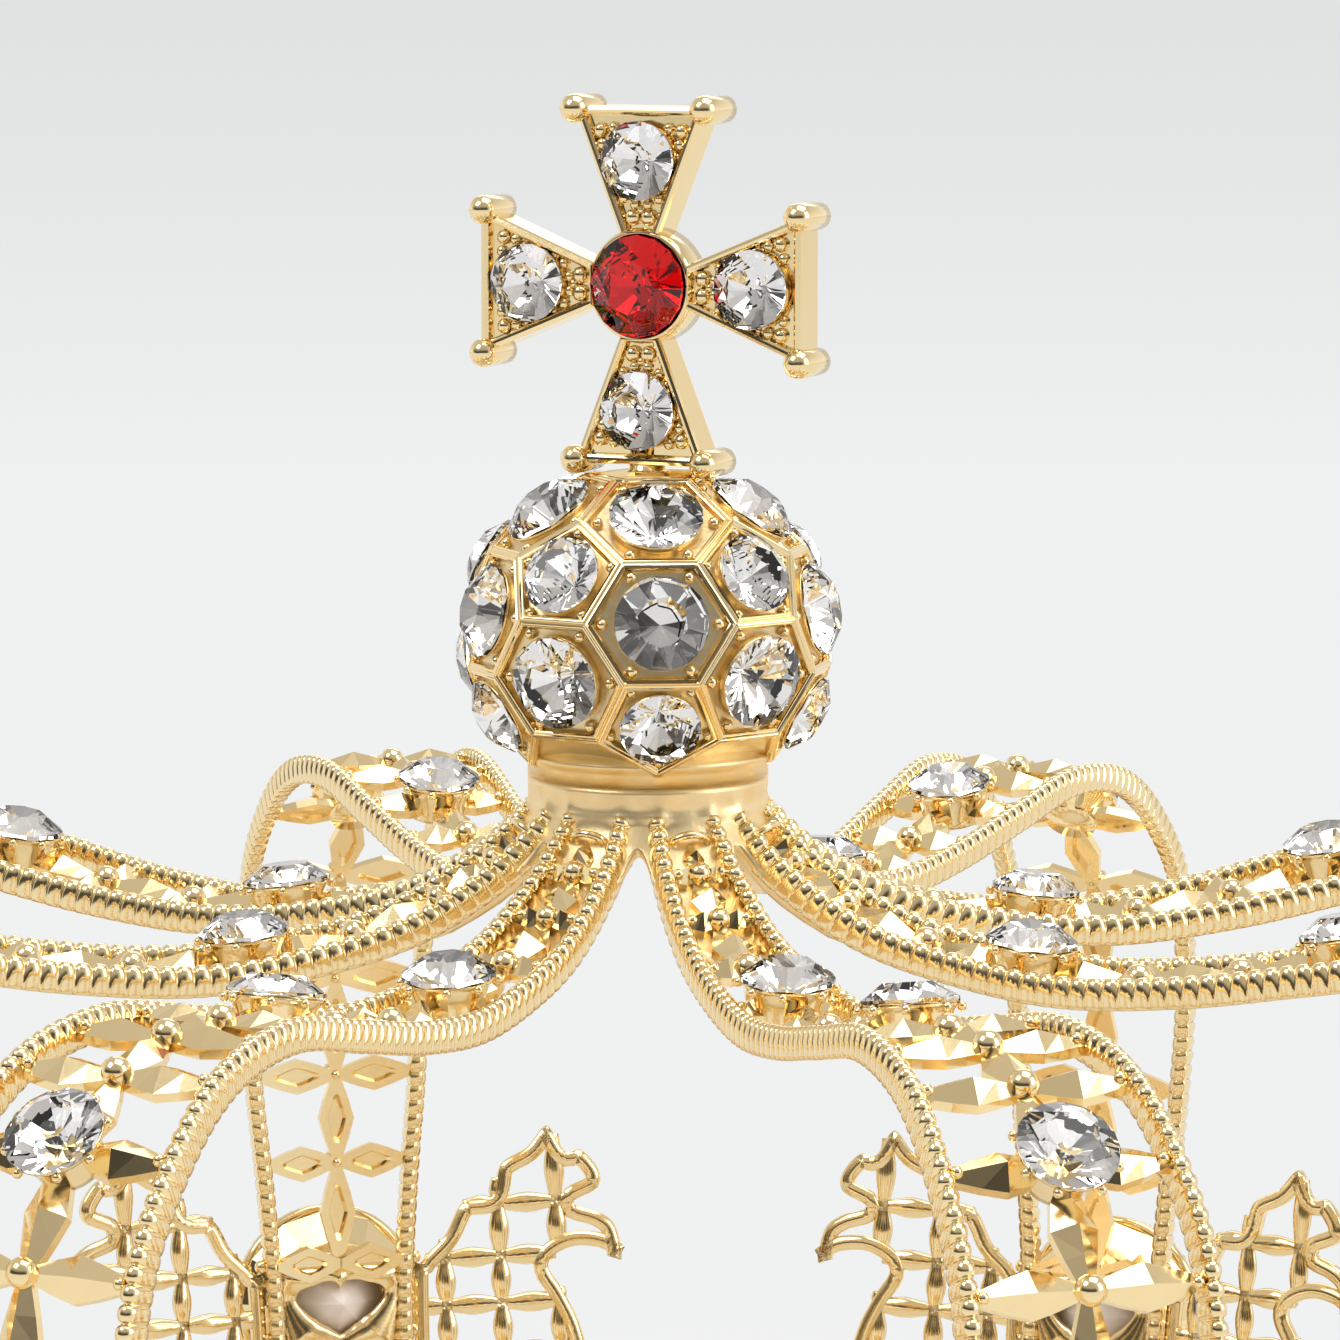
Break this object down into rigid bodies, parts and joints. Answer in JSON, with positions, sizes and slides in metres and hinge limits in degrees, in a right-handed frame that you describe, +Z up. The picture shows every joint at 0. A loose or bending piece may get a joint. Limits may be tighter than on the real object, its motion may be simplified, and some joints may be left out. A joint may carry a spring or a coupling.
{
  "type": "arched crown",
  "caption": "Costume crown with pierced arches, a jewelled orb and a flared cross, standing on a plain hoop.",
  "frame": {"origin": "centre of the hoop's lower edge, on the surface the crown stands on", "axes": "+Z up through the orb and the cross; the cross faces -Y"},
  "size_m": [0.1806, 0.1806, 0.1562],
  "materials": {
    "gold": "bright pale gold plating, polished",
    "crystal": "clear cut crystal with a mirror back",
    "red_crystal": "red cut crystal with a mirror back"
  },
  "bodies": {
    "root": {"band": "gold", "collar": "gold", "orb": "gold", "cross": "gold", "arch_1": "gold", "arch_2": "gold", "arch_3": "gold", "arch_4": "gold", "arch_5": "gold", "arch_6": "gold", "arch_7": "gold", "arch_8": "gold", "leaves_1": "gold", "leaves_2": "gold", "leaves_3": "gold", "leaves_4": "gold", "leaves_5": "gold", "leaves_6": "gold", "leaves_7": "gold", "leaves_8": "gold", "orb_stones": "crystal", "foot_stone_1": "crystal", "foot_stone_2": "crystal", "foot_stone_3": "crystal", "foot_stone_4": "crystal", "foot_stone_5": "crystal", "foot_stone_6": "crystal", "foot_stone_7": "crystal", "foot_stone_8": "crystal", "cross_stone_1": "crystal", "cross_stone_2": "crystal", "cross_stone_3": "crystal", "cross_stone_4": "crystal", "arch_stone_1": "crystal", "arch_stone_2": "crystal", "arch_stone_3": "crystal", "arch_stone_4": "crystal", "arch_stone_5": "crystal", "arch_stone_6": "crystal", "arch_stone_7": "crystal", "arch_stone_8": "crystal", "arch_stone_9": "crystal", "arch_stone_10": "crystal", "arch_stone_11": "crystal", "arch_stone_12": "crystal", "arch_stone_13": "crystal", "arch_stone_14": "crystal", "arch_stone_15": "crystal", "arch_stone_16": "crystal", "arch_stone_17": "crystal", "arch_stone_18": "crystal", "arch_stone_19": "crystal", "arch_stone_20": "crystal", "arch_stone_21": "crystal", "arch_stone_22": "crystal", "arch_stone_23": "crystal", "arch_stone_24": "crystal", "red_stone": "red_crystal"}
  },
  "joints": []
}
